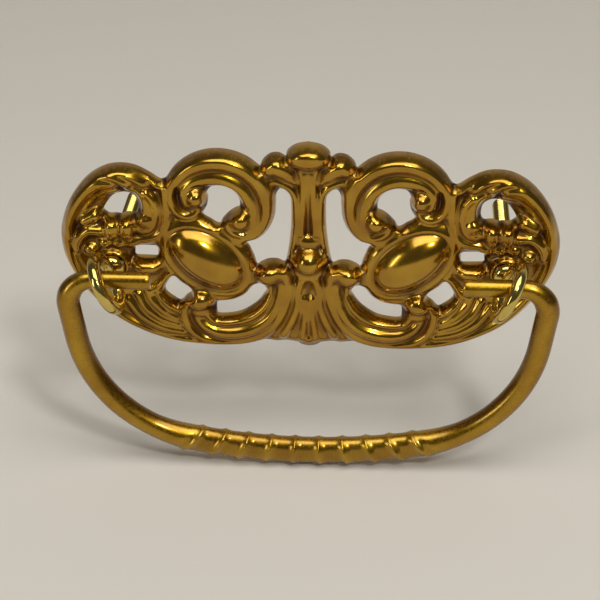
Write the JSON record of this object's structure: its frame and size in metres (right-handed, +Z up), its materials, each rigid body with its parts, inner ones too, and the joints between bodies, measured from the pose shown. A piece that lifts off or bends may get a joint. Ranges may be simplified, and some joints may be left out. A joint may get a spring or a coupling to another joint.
{
  "type": "drawer pull",
  "caption": "Bail drawer pull of stamped brass: a pierced scrollwork backplate and a banded, free-swinging bail hung in ring eye bolts with threaded shanks.",
  "frame": {"origin": "midway between the axes of the two eye bolts, on the flat back plane of the plate", "axes": "+X to the right along the plate, +Y backwards into the drawer front along the shanks, +Z up"},
  "size_m": [0.0968, 0.046, 0.0651],
  "materials": {
    "lacquered_brass": "polished, gold lacquer",
    "bright_brass": "polished"
  },
  "bodies": {
    "plate": {"backplate": "lacquered_brass", "left_eye_bolt": "bright_brass", "right_eye_bolt": "bright_brass"},
    "bail": {"bail": "lacquered_brass"}
  },
  "joints": [
    {"name": "bail_swing", "type": "hinge", "parent": "plate", "child": "bail", "pos_m": [0, -0.0097, 0.0008], "axis": [-1, 0, 0], "range_deg": [-10, 190]}
  ]
}
